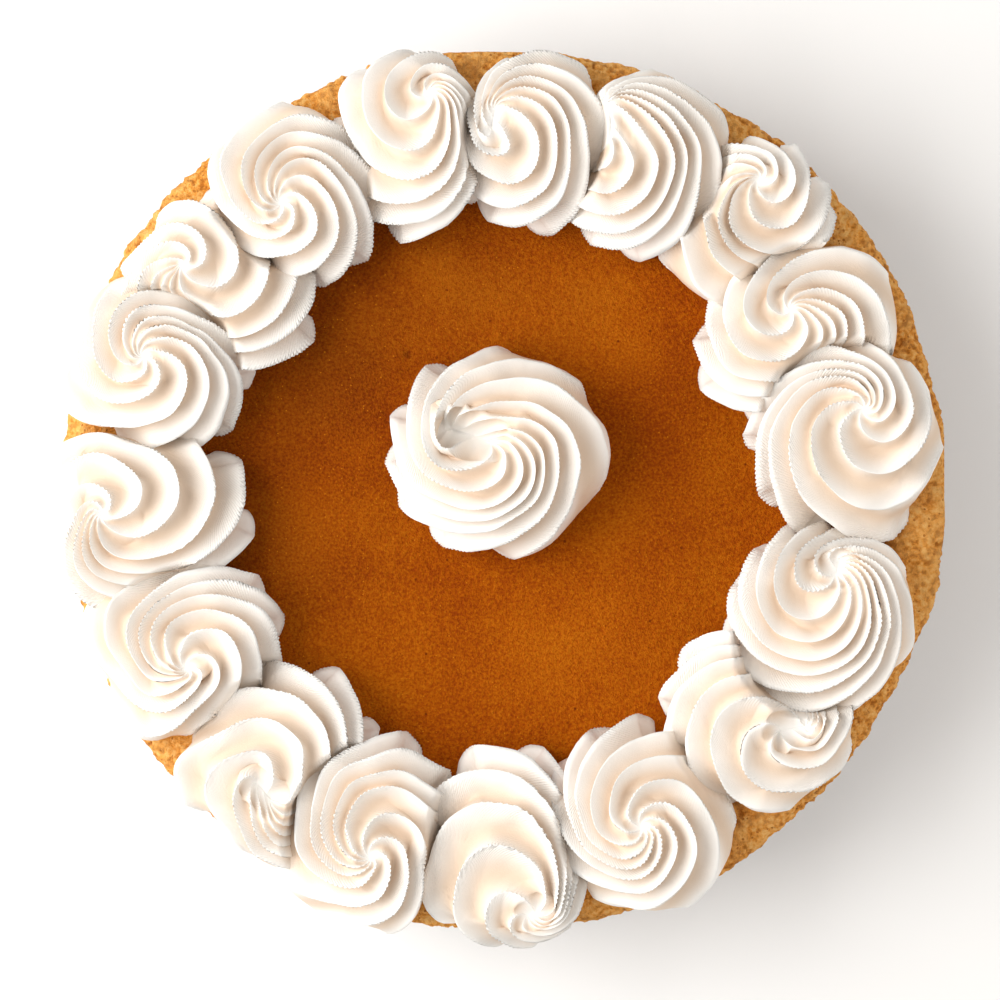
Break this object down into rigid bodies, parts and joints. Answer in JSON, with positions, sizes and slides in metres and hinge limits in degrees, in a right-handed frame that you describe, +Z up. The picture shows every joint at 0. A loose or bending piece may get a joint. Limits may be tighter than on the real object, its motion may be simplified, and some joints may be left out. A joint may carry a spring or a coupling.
{
  "type": "pumpkin pie",
  "caption": "Whole round pumpkin pie in a plain pressed tin, with a browned crust, smooth spiced filling and a border of piped cream swirls around one larger swirl.",
  "frame": {"origin": "middle of the tin's flat bottom", "axes": "+Z up; +X to the right and +Y away from the viewer when the pie is seen from above"},
  "size_m": [0.2512, 0.2546, 0.062],
  "materials": {
    "pressed_tin": "plain pressed metal, lightly rubbed",
    "baked_crust": "rough golden brown baked pastry",
    "pumpkin_filling": "smooth set custard with a fine grain",
    "whipped_cream": "soft matt whipped cream"
  },
  "bodies": {
    "root": {"pie_tin": "pressed_tin", "pie_crust": "baked_crust", "pumpkin_filling": "pumpkin_filling", "cream_rosette_01": "whipped_cream", "cream_rosette_02": "whipped_cream", "cream_rosette_03": "whipped_cream", "cream_rosette_04": "whipped_cream", "cream_rosette_05": "whipped_cream", "cream_rosette_06": "whipped_cream", "cream_rosette_07": "whipped_cream", "cream_rosette_08": "whipped_cream", "cream_rosette_09": "whipped_cream", "cream_rosette_10": "whipped_cream", "cream_rosette_11": "whipped_cream", "cream_rosette_12": "whipped_cream", "cream_rosette_13": "whipped_cream", "cream_rosette_14": "whipped_cream", "cream_rosette_15": "whipped_cream", "cream_rosette_16": "whipped_cream", "cream_rosette_17": "whipped_cream", "cream_rosette_centre": "whipped_cream"}
  },
  "joints": []
}
